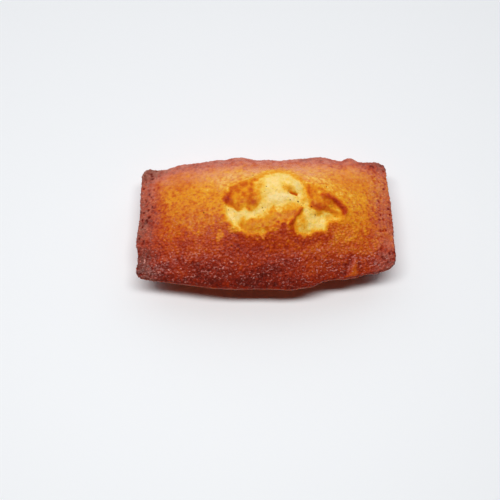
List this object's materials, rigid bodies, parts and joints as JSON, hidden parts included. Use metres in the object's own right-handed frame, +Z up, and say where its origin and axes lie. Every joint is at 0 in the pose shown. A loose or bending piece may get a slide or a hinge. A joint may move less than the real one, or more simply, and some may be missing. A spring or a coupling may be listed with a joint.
{
  "type": "financier cake",
  "caption": "Bar-shaped small almond cake with sloping moulded sides, bulging long edges and a domed top torn open over pale crumb.",
  "frame": {"origin": "middle of the flat base, on the surface that the cake rests on", "axes": "+X along the cake's length, +Y towards its back, +Z up; its front long edge is at -Y"},
  "size_m": [0.0868, 0.0486, 0.0237],
  "materials": {
    "crust": "browned butter-cake crust, slightly greasy, dark at the rim and golden in the middle, with pale yellow crumb in the tear"
  },
  "bodies": {
    "root": {"financier": "crust"}
  },
  "joints": []
}
